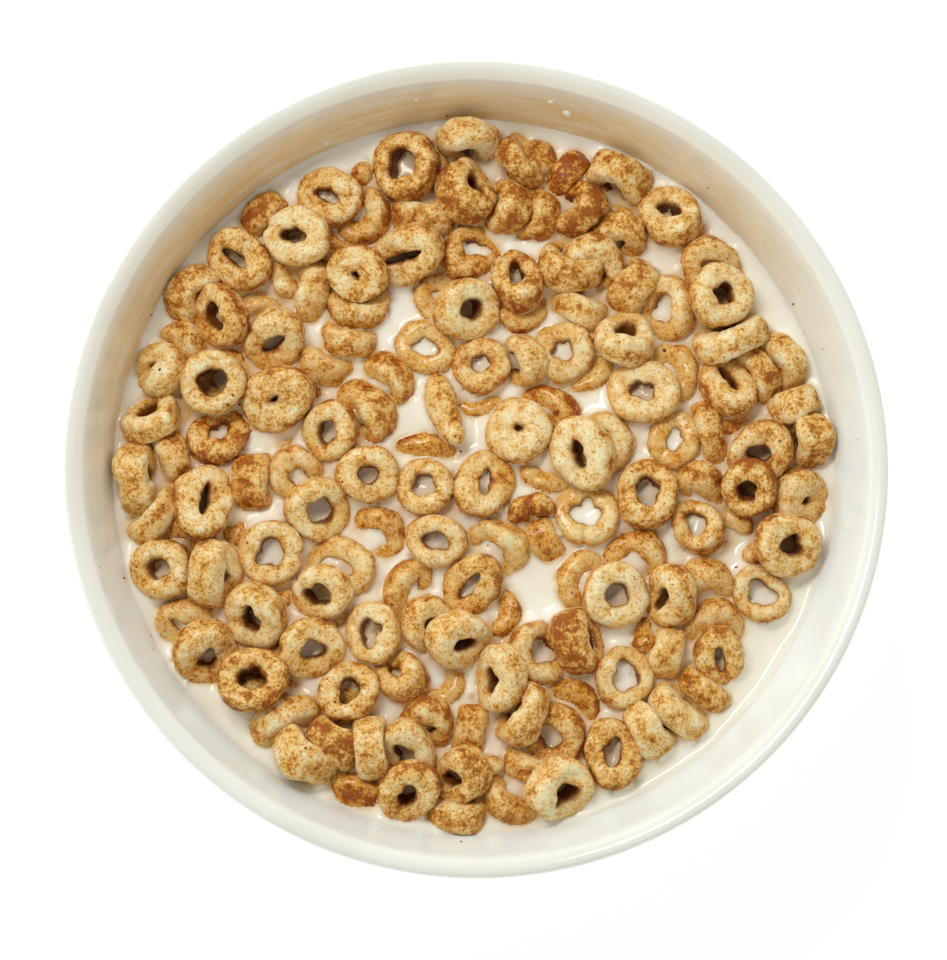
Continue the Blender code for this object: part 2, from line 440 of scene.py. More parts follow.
def ring_piece(kind, settings, chance, block):
    """One ring in its own frame: rows of points, and the balls that stand for it as it falls."""
    radius = settings.ring_radius * np.clip(chance.normal(1, 0.07), 0.82, 1.14)
    height = settings.ring_height * np.clip(chance.normal(1, 0.1), 0.78, 1.22)
    turn = np.linspace(0, math.tau, RING_STEPS, endpoint=False)[:, None]
    around = np.linspace(0, math.tau, TUBE_STEPS, endpoint=False)[None]

    # Up to three nips in the dough.
    pinch = np.zeros_like(turn)
    for _ in range(chance.integers(0, 4)):
        away = apart(turn, chance.uniform(0, math.tau))
        pinch += chance.uniform(0.03, 0.14) * np.exp(-((away / chance.uniform(0.1, 0.25)) ** 2))

    # The outline, the hole, and the tube between them, squarer than round.
    heading = chance.uniform(0, math.tau)
    squeeze = chance.normal(0, 0.05)
    outline = ellipse(turn, min(1, kind["round"] + squeeze), heading)
    outer = radius * (outline + wave(turn, ((3, 0.018), (4, 0.012), (5, 0.01)), chance) - pinch * 0.5)
    opening = ellipse(turn, min(1, kind["hole_round"] + 2 * squeeze), heading + chance.normal(0, 0.3))
    opening *= 1 + wave(turn, ((3, 0.09), (4, 0.06), (5, 0.05)), chance)
    hole = np.maximum(radius * kind["hole"] * chance.normal(1, 0.1) * opening, 0.1 * MM)
    half_width = (outer - hole) / 2
    middle = (outer + hole) / 2
    half_height = height / 2 * (1 + wave(turn, ((1, 0.06), (2, 0.06), (3, 0.03)), chance) - pinch)
    inner = np.cos(around) < 0
    across = np.where(inner, eased(np.cos(around), 0.5), eased(np.cos(around), 0.72))
    up = np.where(inner, eased(np.sin(around), 0.55), eased(np.sin(around), 0.74))

    # A seam along part of the outside, and a saddle bend.
    line = wave(turn, ((1, 0.2), (3, 0.1)), chance)
    seam = np.exp(-((apart(around, 0) - line) / 0.2) ** 2)
    seam *= np.clip(np.cos(turn - chance.uniform(0, math.tau)) * 1.5, 0, 1) * chance.uniform(0, 0.45) * MM
    out = middle + half_width * across - seam
    sag = abs(chance.normal(0, 0.3)) * MM * np.cos(2 * (turn - chance.uniform(0, math.tau)))
    surface = roughened(round_axis(out, turn, half_height * up + sag), outward(turn, around), block)

    # Masks for the holes and the outer sides, which the crust paints darker, partly for toast and cinnamon and
    # partly as painted shade.
    hollow = np.broadcast_to(np.clip(-across, 0, 1) ** 1.5 * (1 - 0.6 * up**2), surface.shape[:2])
    side = np.broadcast_to(np.clip(across, 0, 1) ** 2 * (1 - 0.7 * up**2), surface.shape[:2])
    ball = float(half_width.mean())
    return {"surface": surface, "hollow": hollow, "side": side, "closed": True, "ball": ball,
            "balls": ring_balls(middle, turn, max(float(half_height.mean()) - ball, 0.2 * MM))}


def ring_balls(middle, turn, rise):
    """The middles of two staggered rows of balls along a ring, one over and one under its plane."""
    gap = RING_STEPS / BALLS
    rows = []
    for offset, lift in ((0, rise), (gap / 2, -rise)):
        spot = (np.arange(BALLS) * gap + offset).astype(int) % RING_STEPS
        rows.append(round_axis(middle[spot, 0], turn[spot, 0], lift))
    return np.concatenate(rows)


def broken_piece(chance, block):
    """A piece of a ring, or a long one that never closed: a bent loaf with rounded ends."""
    long = chance.uniform() < 0.4
    bend = (13 if long else 4.4) * MM
    span = (chance.uniform(15, 20) if long else chance.uniform(7, 12)) * MM / bend
    half_width = (3.1 if long else 2.3) * MM
    half_height = 2.9 * MM
    share = (1 - np.cos(np.linspace(0.004, 0.996, RING_STEPS) * math.pi))[:, None] / 2
    turn = (share - 0.5) * span
    around = np.linspace(0, math.tau, TUBE_STEPS, endpoint=False)[None]
    full = (1 - np.abs(2 * share - 1) ** 4) ** 0.5 * (1 + wave(turn * 3, ((1, 0.08), (2, 0.06)), chance))
    out = bend + half_width * full * np.cos(around)
    points = round_axis(out, turn, half_height * full * np.sin(around)) - [bend, 0, 0]
    surface = roughened(points, outward(turn, around) * full[..., None], block)
    angle = np.tile(np.linspace(-0.5, 0.5, BALLS) * span * 0.7, 2)
    lift = np.repeat([0.4, -0.4], BALLS) * MM
    balls = round_axis(bend, angle, lift) - [bend, 0, 0]
    side = np.broadcast_to(np.abs(np.cos(around)) ** 2, surface.shape[:2])
    return {"surface": surface, "hollow": np.zeros(surface.shape[:2]), "side": side, "closed": False,
            "balls": balls, "ball": 0.9 * half_width}


def cereal_pieces(settings, chance):
    """Every ring and broken piece, each in its own frame, in the order in which they drop."""
    block = lattice(chance)
    names = list(KINDS)
    shares = np.array([KINDS[name]["share"] for name in names])
    total = settings.soaked_pieces + settings.dry_pieces
    kinds = chance.choice(len(names), total, p=shares / shares.sum())
    made = []
    for index in kinds:
        name = names[index]
        shift = chance.uniform(0, 1, 3)
        shifted = np.roll(block, (shift * LATTICE).astype(int), (0, 1, 2))
        if name == "broken_pieces":
            piece = broken_piece(chance, shifted)
        else:
            piece = ring_piece(KINDS[name], settings, chance, shifted)
        piece["balls"] = piece["balls"] - piece["balls"].mean(0)
        piece["kind"] = name
        piece["dust"] = chance.beta(1.6, 3.2)
        made.append(piece)
    return made


def heap_outline():
    """Directions round the bowl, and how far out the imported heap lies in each."""
    points = np.array([vertex.co for vertex in frame["nodes"]["cereal"].data.vertices])
    points = points[points[:, 2] > MILK_HIGH.z]
    turns = np.arctan2(points[:, 1], points[:, 0])
    reach = np.hypot(points[:, 0], points[:, 1])
    middles = np.radians(np.arange(-180, 181, 4))
    return middles, np.array([reach[np.abs(apart(turns, middle)) < 0.06].max() for middle in middles])


def turning(axis, angle):
    """Rotation matrices about unit axes."""
    across, along, up = axis.T
    none = np.zeros_like(across)
    skew = np.stack([none, -up, along, up, none, -across, -along, across, none], -1).reshape(-1, 3, 3)
    return np.eye(3) + np.sin(angle)[:, None, None] * skew + (1 - np.cos(angle))[:, None, None] * skew @ skew


# How the pieces fall, float and come to rest
STEP = 1 / 240
FALL_STEPS = 280
EASE_ROUNDS = 4
GRAVITY = 9.81
DROP_HEIGHT = 6 * MM
DROP_GAP = 0.25 * MM
DROP_MARGIN = 7 * MM
AIR_DRAG = 0.5
MILK_DRAG = 9
TOP_SPEED = 0.6
DAMPING = 0.985
RIGHTING = 1.3
LEAN = 0.85
DRIFT = 0.9
STANDING = 0.13
GRIP = 0.65
FRICTION = 0.4
WALL_CLEARANCE = 1.08
OUTLINE_SLACK = 2.5 * MM


def touching(balls, middles, sizes, reach):
    """Pairs of balls on different pieces that are close enough to meet in this step."""
    between = np.linalg.norm(middles[:, None] - middles[None], axis=-1)
    first, second = np.nonzero(np.triu(between < reach[:, None] + reach[None] + 1 * MM, 1))
    gaps = ((balls[first][:, :, None] - balls[second][:, None]) ** 2).sum(-1)
    limit = sizes[first] + sizes[second]
    pair, one, other = np.nonzero(gaps < (limit[:, None, None] + 0.6 * MM) ** 2)
    number = balls.shape[1]
    return first[pair] * number + one, second[pair] * number + other, limit[pair]


def parted(points, before, pairs):
    """Pushes overlapping balls apart, each by half of what they overlap, and holds them from sliding past."""
    one, other, limit = pairs
    gap = points[one] - points[other]
    length = np.linalg.norm(gap, axis=1) + 1e-9
    normal = gap / length[:, None]
    overlap = np.clip(limit - length, 0, None)
    moved = points - before
    slide = moved[one] - moved[other]
    slide -= normal * (slide * normal).sum(1)[:, None]
    push = normal * (overlap * 0.5)[:, None] - slide * (0.5 * FRICTION * (overlap > 0))[:, None]
    for axis in range(3):
        points[:, axis] += np.bincount(one, push[:, axis], len(points))
        points[:, axis] -= np.bincount(other, push[:, axis], len(points))
    return points


def held_in(points, radii, outline, sizes):
    """Moves balls in from the bowl's wall and the heap's outline, where they are past them."""
    outwards = np.hypot(points[:, 0], points[:, 1]) + 1e-9
    bearing = np.arctan2(points[:, 1], points[:, 0])
    wall = inner_radius(points[:, 2], sizes) - WALL_CLEARANCE * radii
    edge = np.interp(bearing, *outline) + OUTLINE_SLACK - radii
    points[:, :2] *= np.minimum(1, np.minimum(wall, edge) / outwards)[:, None]
    return points


def fitted(balls, shape):
    """Each piece's rotation and middle, found by fitting its own shape to where its balls have got to."""
    middles = balls.mean(1)
    spread = np.einsum("kni,knj->kij", balls - middles[:, None], shape)
    left, _, right = np.linalg.svd(spread)
    left[:, :, 2] *= np.sign(np.linalg.det(left @ right))[:, None]
    return left @ right, middles


def placed(shape, turned_to, middles):
    """The balls of every piece, turned and moved."""
    return np.einsum("kij,knj->kni", turned_to, shape) + middles[:, None]


def settle(pieces, sizes, level, density, chance):
    """Drops the pieces into the milk and lets them float to rest: each one's rotation and middle.

    A piece is a rigid set of balls. In each step the balls move on their own, are pushed out of each other
    and the wall, and are then fitted back to the piece's shape.
    """
    count = len(pieces)
    shape = np.stack([piece["balls"] for piece in pieces])
    ball = np.array([piece["ball"] for piece in pieces])
    reach = np.linalg.norm(shape, axis=-1).max(1) + ball
    each = np.repeat(ball[:, None], shape.shape[1], 1)

    # Each piece starts over the milk, above the one before it, with a turn and a tilt of its own.
    turn = chance.uniform(0, math.tau, count)
    outwards = np.sqrt(chance.uniform(0, 1, count)) * (inner_radius(level, sizes) - DROP_MARGIN)
    middles = round_axis(outwards, turn, level + DROP_HEIGHT + np.arange(count) * DROP_GAP)
    standing = chance.uniform(size=count) < STANDING
    tilt = np.where(standing, chance.uniform(0.9, 1.5, count), np.abs(chance.normal(0, 0.6, count)))
    heading = chance.uniform(0, math.tau, count)
    level_axis = round_axis(1, heading, 0)
    spin = turning(np.tile([0.0, 0, 1], (count, 1)), chance.uniform(0, math.tau, count))
    balls = placed(shape, turning(level_axis, tilt) @ spin, middles)
    speed = np.zeros_like(balls)

    righting = np.where(standing, 0, RIGHTING)[:, None]
    leaning = turning(level_axis, np.abs(chance.normal(0, LEAN, count)))[:, :, 2]
    outline = heap_outline()
    surface_radius = inner_radius(level, sizes)
    for _ in range(FALL_STEPS):
        # Weight, buoyancy, drag, and a slow drift of the milk outwards.
        sunk = np.clip((level - balls[..., 2] + each) / (2 * each), 0, 1)
        speed[..., 2] += GRAVITY * (sunk / density[:, None] - 1) * STEP
        middles = balls.mean(1)
        speed[..., :2] += (DRIFT * middles[:, :2] / surface_radius * STEP)[:, None]
        speed *= (1 - STEP * (AIR_DRAG + MILK_DRAG * sunk))[..., None]

        # Contacts.
        before = balls
        balls = balls + speed * STEP
        pairs = touching(balls, middles, ball, reach)
        for _ in range(EASE_ROUNDS):
            points = parted(balls.reshape(-1, 3).copy(), before.reshape(-1, 3), pairs)
            balls = held_in(points, each.ravel(), outline, sizes).reshape(balls.shape)
            turned_to, middles = fitted(balls, shape)
            balls = placed(shape, turned_to, middles)
        speed = (balls - before) / STEP

        # Each piece rights itself to its own lean, and those that touch slow each other down.
        axis = turned_to[:, :, 2]
        upright = leaning * np.where(axis[:, 2] < 0, -1, 1)[:, None]
        speed += np.cross((np.cross(axis, upright) * righting)[:, None], balls - middles[:, None])
        fastest = np.linalg.norm(speed, axis=-1, keepdims=True)
        speed *= DAMPING * np.minimum(1, TOP_SPEED / np.maximum(fastest, 1e-9))
        met = np.bincount(np.concatenate(pairs[:2]), minlength=each.size).reshape(each.shape) > 0
        speed[met] *= GRIP
    return turned_to, middles


def band_faces(rows, columns, closed, start):
    """Faces of rows of points, each a closed loop: the rows close into a ring, or end in two flat faces."""
    last = rows if closed else rows - 1
    row, column = np.meshgrid(np.arange(last), np.arange(columns), indexing="ij")
    upper, lower = row * columns, (row + 1) % rows * columns
    beside = (column + 1) % columns
    corners = [upper + column, lower + column, lower + beside, upper + beside]
    faces = (np.stack(corners, -1).reshape(-1, 4) + start).tolist()
    if not closed:
        faces.append(list(range(start + columns - 1, start - 1, -1)))
        faces.append(list(range(start + (rows - 1) * columns, start + rows * columns)))
    return faces


def joined(name, pieces):
    """One mesh object from the settled pieces, with their hollows, sides and dust stored at its points."""
    points, faces = [], []
    total = 0
    for piece in pieces:
        rows, columns = piece["surface"].shape[:2]
        faces += band_faces(rows, columns, piece["closed"], total)
        points.append(piece["placed"].reshape(-1, 3))
        total += rows * columns
    mesh = bpy.data.meshes.new(name)
    mesh.from_pydata(np.concatenate(points).tolist(), [], faces)
    for label in ("hollow", "side"):
        store(mesh, label, np.concatenate([piece[label].ravel() for piece in pieces]))
    store(mesh, "dust", np.concatenate([np.full(piece["hollow"].size, piece["dust"]) for piece in pieces]))
    mesh.shade_smooth()
    return stood(name, mesh)


def store(mesh, label, values):
    kept = mesh.attributes.get(label) or mesh.attributes.new(label, "FLOAT", "POINT")
    kept.data.foreach_set("value", np.asarray(values, np.float32))


def cereal_material(settings):
    """Puffed oat dough, extruded, cut, toasted and dusted with cinnamon: matte and porous, pale on its
    crowns, caramel in patches, browner on its sides and dark in the holes, partly toast and cinnamon and
    partly painted shade, and darker and glossy where the milk has soaked in."""
    made, add, place = new_material("Toasted oat ring")
    hollow, dust, side, wet = (add("Attribute", attribute_name=label).outputs["Fac"]
                               for label in ("hollow", "dust", "side", "wet"))

    # Toast: soft mottling and browned blotches a millimetre or two across, with more of both on the sides and
    # in the holes, partly real toast and partly painted shade, so the crowns stay palest.
    # The sides and the holes, where toast and painted shade both go.
    edge = add("Math", {0: hollow, 1: 1.2, 2: side}, operation="MULTIPLY_ADD")
    mottle = add("TexNoise", {"Vector": place, "Scale": 1 / 0.7, "Detail": 4, "Roughness": 0.6})
    patches = add("TexNoise", {"Vector": place, "Scale": 1 / 2.6, "Detail": 5, "Roughness": 0.65})
    for source, amount in ((dust, 0.22), (edge, 0.13)):
        patches = add("Math", {0: source, 1: amount, 2: patches}, operation="MULTIPLY_ADD")
    toasted = add("Math", {0: mottle, 1: 0.5, 2: patches}, operation="MULTIPLY_ADD")
    colour = coated(add, settings.crust, toasted, 0.56, 1.02, settings.toast)
    colour = coated(add, colour, toasted, 0.88, 1.1, settings.browned, 0.85)

    # Freckles and cinnamon: finer, and gathered where the blotches and the dust are, with a little more on the
    # sides and in the holes as painted shade.
    freckles = add("TexNoise", {"Vector": place, "Scale": 1 / 0.5, "Detail": 2, "Roughness": 0.5,
                                "Distortion": 0.4})
    freckles = add("Math", {0: patches, 1: 0.4, 2: freckles}, operation="MULTIPLY_ADD")
    colour = coated(add, colour, freckles, 0.74, 0.9, settings.freckles, 0.6)
    grains = add("TexNoise", {"Vector": place, "Scale": 1 / 0.7, "Detail": 2, "Roughness": 0.6})
    for source, amount in ((dust, 0.16), (edge, 0.05)):
        grains = add("Math", {0: source, 1: amount, 2: grains}, operation="MULTIPLY_ADD")
    colour = coated(add, colour, grains, 0.68, 0.84, settings.cinnamon, 0.45)
    specks = add("TexVoronoi", {"Vector": place, "Scale": 1 / 2.38})
    colour = coated(add, colour, specks, 0.1, 0.05, settings.cinnamon, 0.8)

    # The holes' depths, dark with cinnamon and with painted shade, and the milk that has soaked in.
    colour = coated(add, colour, hollow, 0.15, 0.85, settings.hollow, 0.85)
    soaked = add("Mix", {"Factor": 1.0, "A": colour, "B": settings.soak}, **COLOURS, blend_type="MULTIPLY")
    colour = add("Mix", {"Factor": wet, "A": colour, "B": soaked}, **COLOURS)

    crumb = add("TexNoise", {"Vector": place, "Scale": 1 / 0.4, "Detail": 2, "Roughness": 0.6})
    relief = add("Bump", {"Height": crumb, "Strength": 0.28, "Distance": 0.06 * MM})
    pits = add("TexVoronoi", {"Vector": place, "Scale": 1 / 0.7})
    pits = add("MapRange", {"Value": pits, "From Max": 0.5}, **SMOOTH)
    relief = add("Bump", {"Height": pits, "Strength": 0.2, "Distance": 0.03 * MM, "Normal": relief})
    gloss = add("MapRange", {"Value": wet, "From Min": 0.25, "From Max": 0.8, "To Min": 0.75,
                             "To Max": 0.17}, **SMOOTH)
    shader = add("BsdfPrincipled", {"Base Color": colour, "Roughness": gloss, "Normal": relief, "IOR": 1.35})
    add("OutputMaterial", {"Surface": shader})
    return made


# Milk

MILK_CELLS = 300
FIELD_CELLS = 420
FIELD_ROUNDS = 300
SHADE_ROUNDS = 100
GLOW_ROUNDS = 3
FIELD_RISE = 4 * MM
DRAPED = 0.8
THIN_DEPTH = 1.3 * MM
SHELTER = 5 * MM
SHADE_START = 0.3
WETTED = 1.1 * MM
WALL_BITE = 0.25 * MM
SKIRT_ROWS = 5
OVERHEAD = HEAP_HIGH.z + 50 * MM
DOWN = Vector((0, 0, -1))


def cereal_objects():
    return [thing for thing in bpy.data.objects if thing.name.startswith("cereal_")]


def search_tree(things):
    """A search tree over the meshes of several objects."""
    points, faces = [], []
    for thing in things:
        start = len(points)
        points += [vertex.co for vertex in thing.data.vertices]
        faces += [[start + corner for corner in face.vertices] for face in thing.data.polygons]
    return BVHTree.FromPolygons(points, faces)


def neighbours(grid):
    """The sum of the four cells beside each cell of a grid."""
    return np.roll(grid, 1, 0) + np.roll(grid, -1, 0) + np.roll(grid, 1, 1) + np.roll(grid, -1, 1)


def milk_field(level, climb, reach, sizes):
    """The milk's height over its level, how thin it lies over cereal, and how shut in it is, for its painted
    shade, on a square grid.

    The milk climbs whatever sticks out of it, and the rise falls off over its reach, as surface tension
    makes it.
    """
    half = float(inner_radius(level + FIELD_RISE, sizes))
    line = np.linspace(-half, half, FIELD_CELLS)
    across, along = np.meshgrid(line, line, indexing="ij")
    tree = search_tree(cereal_objects())
    start = level + climb
    held = np.hypot(across, along) > inner_radius(start, sizes)
    height = np.where(held, climb, 0.0)
    top = np.full(across.shape, -1.0)
    cover = np.zeros(across.shape)
    for spot in zip(*np.nonzero(~held)):
        over, _, _, _ = tree.ray_cast(Vector((across[spot], along[spot], OVERHEAD)), DOWN)
        cover[spot] = 0 if over is None else min(max((over.z - level) / SHELTER, 0), 1)
        hit, normal, _, _ = tree.ray_cast(Vector((across[spot], along[spot], start)), DOWN)
        if hit is None:
            continue
        if normal.z < 0:
            held[spot] = True
            height[spot] = climb
            top[spot] = start
        else:
            top[spot] = hit.z
            if hit.z > level:
                held[spot] = True
                height[spot] = DRAPED * (hit.z - level)
    cell = line[1] - line[0]
    weight = 1 / (4 + (cell / reach) ** 2)
    free = ~held
    for _ in range(FIELD_ROUNDS):
        height = np.where(free, neighbours(height) * weight, height)
    thin = np.exp(-np.clip(level + height - top, 0, None) / THIN_DEPTH)
    glow = thin.copy()
    for _ in range(GLOW_ROUNDS):
        glow = (2 * glow + neighbours(glow)) / 6
    # How much cereal stands over each cell, blurred: where it is high, the milk gets painted shade.
    for _ in range(SHADE_ROUNDS):
        cover = (cover + neighbours(cover)) / 5
    shut_in_shade = np.clip((cover - SHADE_START) / SHADE_START, 0, 1)
    return {"half": half, "height": height, "thin": np.maximum(thin, glow), "shut_in_shade": shut_in_shade}


def sampled(field, name, across, along):
    """One value of the field at any places, read between its cells."""
    grid = field[name]
    places = [(value / field["half"] + 1) / 2 * (FIELD_CELLS - 1) for value in (across, along)]
    low = [np.clip(np.floor(place).astype(int), 0, FIELD_CELLS - 2) for place in places]
    share = [np.clip(place - start, 0, 1) for place, start in zip(places, low)]
    total = 0
    for one, other in itertools.product((0, 1), repeat=2):
        weight = (share[0] if one else 1 - share[0]) * (share[1] if other else 1 - share[1])
        total = total + weight * grid[low[0] + one, low[1] + other]
    return total


def milk_mesh(field, level, climb, sizes):
    """The milk: a grid pressed into a disc, a side that goes a little into the bowl's wall, and a base."""
    line = np.linspace(-1, 1, MILK_CELLS + 1)
    one, other = np.meshgrid(line, line, indexing="ij")
    rim = float(inner_radius(level + climb, sizes)) + WALL_BITE
    across = one * np.sqrt(1 - other**2 / 2) * rim
    along = other * np.sqrt(1 - one**2 / 2) * rim
    height = level + sampled(field, "height", across, along)
    points = np.stack([across, along, height], -1).reshape(-1, 3)
    index = np.arange(height.size).reshape(height.shape)
    corners = [index[:-1, :-1], index[1:, :-1], index[1:, 1:], index[:-1, 1:]]
    faces = np.stack(corners, -1).reshape(-1, 4).tolist()

    # The side, from the grid's edge down to the bowl's floor.
    edge = np.concatenate([index[:-1, 0], index[-1, :-1], index[:0:-1, -1], index[0, :0:-1]])
    reach = np.hypot(points[edge, 0], points[edge, 1])
    upper = edge
    for share in np.arange(1, SKIRT_ROWS + 1) / SKIRT_ROWS:
        depth = level - (level - FLOOR_LEVEL) * share**0.8
        wide = float(inner_radius(depth, sizes)) + WALL_BITE
        ring = points[edge] * [1, 1, 0]
        ring[:, :2] *= (wide / reach)[:, None]
        ring[:, 2] = depth - WALL_BITE
        lower = len(points) + np.arange(len(edge))
        points = np.concatenate([points, ring])
        faces += np.stack([upper, lower, np.roll(lower, -1), np.roll(upper, -1)], -1).tolist()
        upper = lower
    faces.append(upper[::-1].tolist())

    mesh = bpy.data.meshes.new("milk_pool")
    mesh.from_pydata(points.tolist(), [], faces)
    for label in ("thin", "shut_in_shade"):
        values = np.zeros(len(points))
        values[: height.size] = sampled(field, label, across, along).ravel()
        store(mesh, label, values)
    mesh.polygons.foreach_set("use_smooth", np.arange(len(faces)) < MILK_CELLS**2)
    return mesh


def grain_shape():
    """Points and faces of a ball of unit radius, to be pulled into crumbs and drops."""
    mould = bmesh.new()
    bmesh.ops.create_icosphere(mould, subdivisions=2, radius=1)
    points = np.array([vertex.co for vertex in mould.verts])
    faces = np.array([[corner.index for corner in face.verts] for face in mould.faces])
    mould.free()
    return points, faces


def scattered(name, shapes):
    """One mesh object from many shapes that were all pulled from the same ball."""
    _, faces = grain_shape()
    count = len(shapes[0])
    mesh = bpy.data.meshes.new(name)
    mesh.from_pydata(np.concatenate(shapes).tolist(), [],
                     np.concatenate([faces + count * index for index in range(len(shapes))]).tolist())
    mesh.shade_smooth()
    return stood(name, mesh)


def facing(normal, spin):
    """Rotation matrix that turns +Z to the normal, after a turn about it."""
    return np.array(Vector(normal).to_track_quat("Z", "Y").to_matrix() @ Matrix.Rotation(spin, 3, "Z"))


def wall_spot(turn, height, sizes):
    """A point on the bowl's inside and the direction in which the glaze faces there."""
    radius, higher = inner_radius(np.array([height, height + 1 * MM]), sizes)
    slope = np.array([-1 * MM, higher - radius]) / math.hypot(1 * MM, higher - radius)
    place = np.array([radius * math.cos(turn), radius * math.sin(turn), height])
    return place, np.array([slope[0] * math.cos(turn), slope[0] * math.sin(turn), slope[1]])


def crumb_shapes(settings, sizes, level, chance):
    """Crumbs that have come off the rings: on the milk, on the rings themselves and a few on the wall."""
    ball, _ = grain_shape()
    block = lattice(chance)
    tree = search_tree([*cereal_objects(), bpy.data.objects["milk_pool"]])
    spots = []
    for _ in range(settings.crumbs):
        reach = inner_radius(level, sizes) * math.sqrt(chance.uniform(0, 0.97))
        turn = chance.uniform(0, math.tau)
        above = Vector((reach * math.cos(turn), reach * math.sin(turn), OVERHEAD))
        place, normal, _, _ = tree.ray_cast(above, DOWN)
        if place is not None and normal.z > 0.6:
            spots.append((np.array(place), normal))
    for _ in range(settings.wall_crumbs):
        turn = chance.uniform(0, math.tau)
        spots.append(wall_spot(turn, level + chance.gamma(1.5, 2.0) * MM + 1 * MM, sizes))
    shapes = []
    for place, normal in spots:
        size = np.clip(chance.lognormal(math.log(0.2), 0.4), 0.09, 0.5) * MM
        shape = ball * [1, chance.uniform(0.5, 1), chance.uniform(0.4, 0.8)] * size
        shape *= 1 + 0.45 * lumps(ball + chance.uniform(0, 20, 3), 0.7, block)[:, None]
        shapes.append(shape @ facing(normal, chance.uniform(0, math.tau)).T + place)
    return shapes


def drop_shapes(settings, sizes, level, chance):
    """Milk splashed on the wall: flat balls half sunk in it, which show as small domes."""
    ball, _ = grain_shape()
    shapes = []
    for _ in range(settings.drops):
        turn = chance.normal(0.5, 1.1)
        height = level + chance.uniform(3.5, 13) * MM
        place, normal = wall_spot(turn, height, sizes)
        size = np.clip(chance.lognormal(math.log(0.4), 0.45), 0.2, 1.0) * MM
        shape = ball * [size, size * chance.uniform(0.8, 1), size * 0.42]
        shapes.append(shape @ facing(normal, chance.uniform(0, math.tau)).T + place)
    return shapes


def crumb_material(settings):
    """Cinnamon sugar and toasted oat crumbs: dull brown, between the cinnamon's and the browned crust's."""
    made, add, place = new_material("Cinnamon oat crumb")
    blend = add("TexNoise", {"Vector": place, "Scale": 1 / 4, "Detail": 2})
    colour = coated(add, settings.cinnamon, blend, 0.42, 0.6, settings.browned)
    shader = add("BsdfPrincipled", {"Base Color": colour, "Roughness": 0.6, "IOR": 1.4})
    add("OutputMaterial", {"Surface": shader})
    return made


def milk_material(settings):
    """Whole milk: fat in water scatters the light just under a wet, mirror-smooth skin. Where it lies thin
    over a sunken ring, the ring's tan shows through, and where it is shut in between the rings it is painted
    darker and warmer, as shade."""
    made, add, place = new_material("Whole milk")
    thin, shut_in_shade = (add("Attribute", attribute_name=label).outputs["Fac"] for label in ("thin", "shut_in_shade"))
    cloud = add("TexNoise", {"Vector": place, "Scale": 1 / 14})
    colour = coated(add, settings.cream, cloud, 0.35, 0.7, settings.settled)
    # Painted shade: milk shut in between the rings goes darker and warmer.
    share = add("Math", {0: shut_in_shade, 1: 0.6}, operation="MULTIPLY")
    colour = add("Mix", {"Factor": share, "A": colour, "B": settings.shut_in_shade}, **COLOURS)
    uneven = add("TexNoise", {"Vector": place, "Scale": 1 / 1.6, "Detail": 3})
    uneven = add("MapRange", {"Value": uneven, "From Min": 0.3, "From Max": 0.7, "To Min": 0.6}, **SMOOTH)
    veil = add("Math", {0: thin, 1: uneven}, operation="MULTIPLY")
    colour = add("Mix", {"Factor": veil, "A": colour, "B": settings.tinted}, **COLOURS)
    shader = add("BsdfPrincipled", {
        "Base Color": colour, "Roughness": 0.05, "IOR": 1.35,
        "Subsurface Weight": 0.35, "Subsurface Radius": (1.0, 0.8, 0.6), "Subsurface Scale": 1.6 * MM})
    add("OutputMaterial", {"Surface": shader})
    return made


# Stage

FLOOR_RADIUS = 3
FLOOR_GLOW = 0.76
KEY_LENGTH = 0.5
KEY_WIDTH = 0.15
KEY_PLACE = Vector((-0.28, 0.37, 0.72))
VIEW_LEAN = Vector((-0.033, -0.134, 1)).normalized()
VIEW_CENTRE = Vector((-0.8 * MM, -3.7 * MM, 0))
VIEW_WIDTH = 185.3 * MM
FILM_WIDTH = 36


def aimed(thing, target, upwards):
    """Turns a lamp or camera to look at the target, with the given direction upwards in its view."""
    back = (thing.location - target).normalized()
    right = Vector(upwards).cross(back).normalized()
    thing.rotation_euler = Matrix((right, back.cross(right), back)).transposed().to_euler()


def tent(settings):
    """A white tent beside a window: brightest low down and towards the window, and open to a dim ceiling."""
    sky = bpy.data.worlds.new("White tent")
    sky.use_nodes = True
    sky.node_tree.nodes.clear()
    add = partial(add_node, sky.node_tree)
    way = add("TexCoord").outputs["Generated"]
    up = add("SeparateXYZ", {0: way}).outputs["Z"]
    strength = add("MapRange", {"Value": up, "From Min": 0.12, "From Max": 0.5, "To Min": settings.glow,
                                "To Max": settings.sky}, **SMOOTH)
    opening = add("MapRange", {"Value": up, "From Min": 0.72, "From Max": 0.93, "To Min": 1.0,
                               "To Max": 0.3}, **SMOOTH)
    window = add("VectorMath", {0: way, 1: (-0.7, 0.7, 0.1)}, operation="DOT_PRODUCT").outputs["Value"]
    window = add("MapRange", {"Value": window, "From Max": 0.85, "To Min": 1.0,
                              "To Max": 1.0 + settings.window}, **SMOOTH)
    for share in (opening, window):
        strength = add("Math", {0: strength, 1: share}, operation="MULTIPLY")
    cloth = add("Background", {"Color": settings.cloth, "Strength": strength})
    add("OutputWorld", {"Surface": cloth})
    return sky


def floor_material(settings):
    """A sheet of white acrylic, lit from below as well, so that shadows on it are faint."""
    made, add, place = new_material("White acrylic sheet")
    cloud = add("TexNoise", {"Vector": place, "Scale": 1 / 300})
    colour = add("Mix", {"Factor": cloud, "A": settings.floor, "B": settings.scuffed}, **COLOURS)
    shader = add("BsdfPrincipled", {"Base Color": colour, "Roughness": 0.8,
                                    "Emission Color": (1, 1, 1, 1), "Emission Strength": FLOOR_GLOW})
    add("OutputMaterial", {"Surface": shader})
    return made


def finish_piece(piece, node, material):
    """Hands a piece to the frame: it rides on the bowl's body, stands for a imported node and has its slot."""
    piece.data.materials.append(material)
    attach(piece, BODY)
    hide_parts(node)


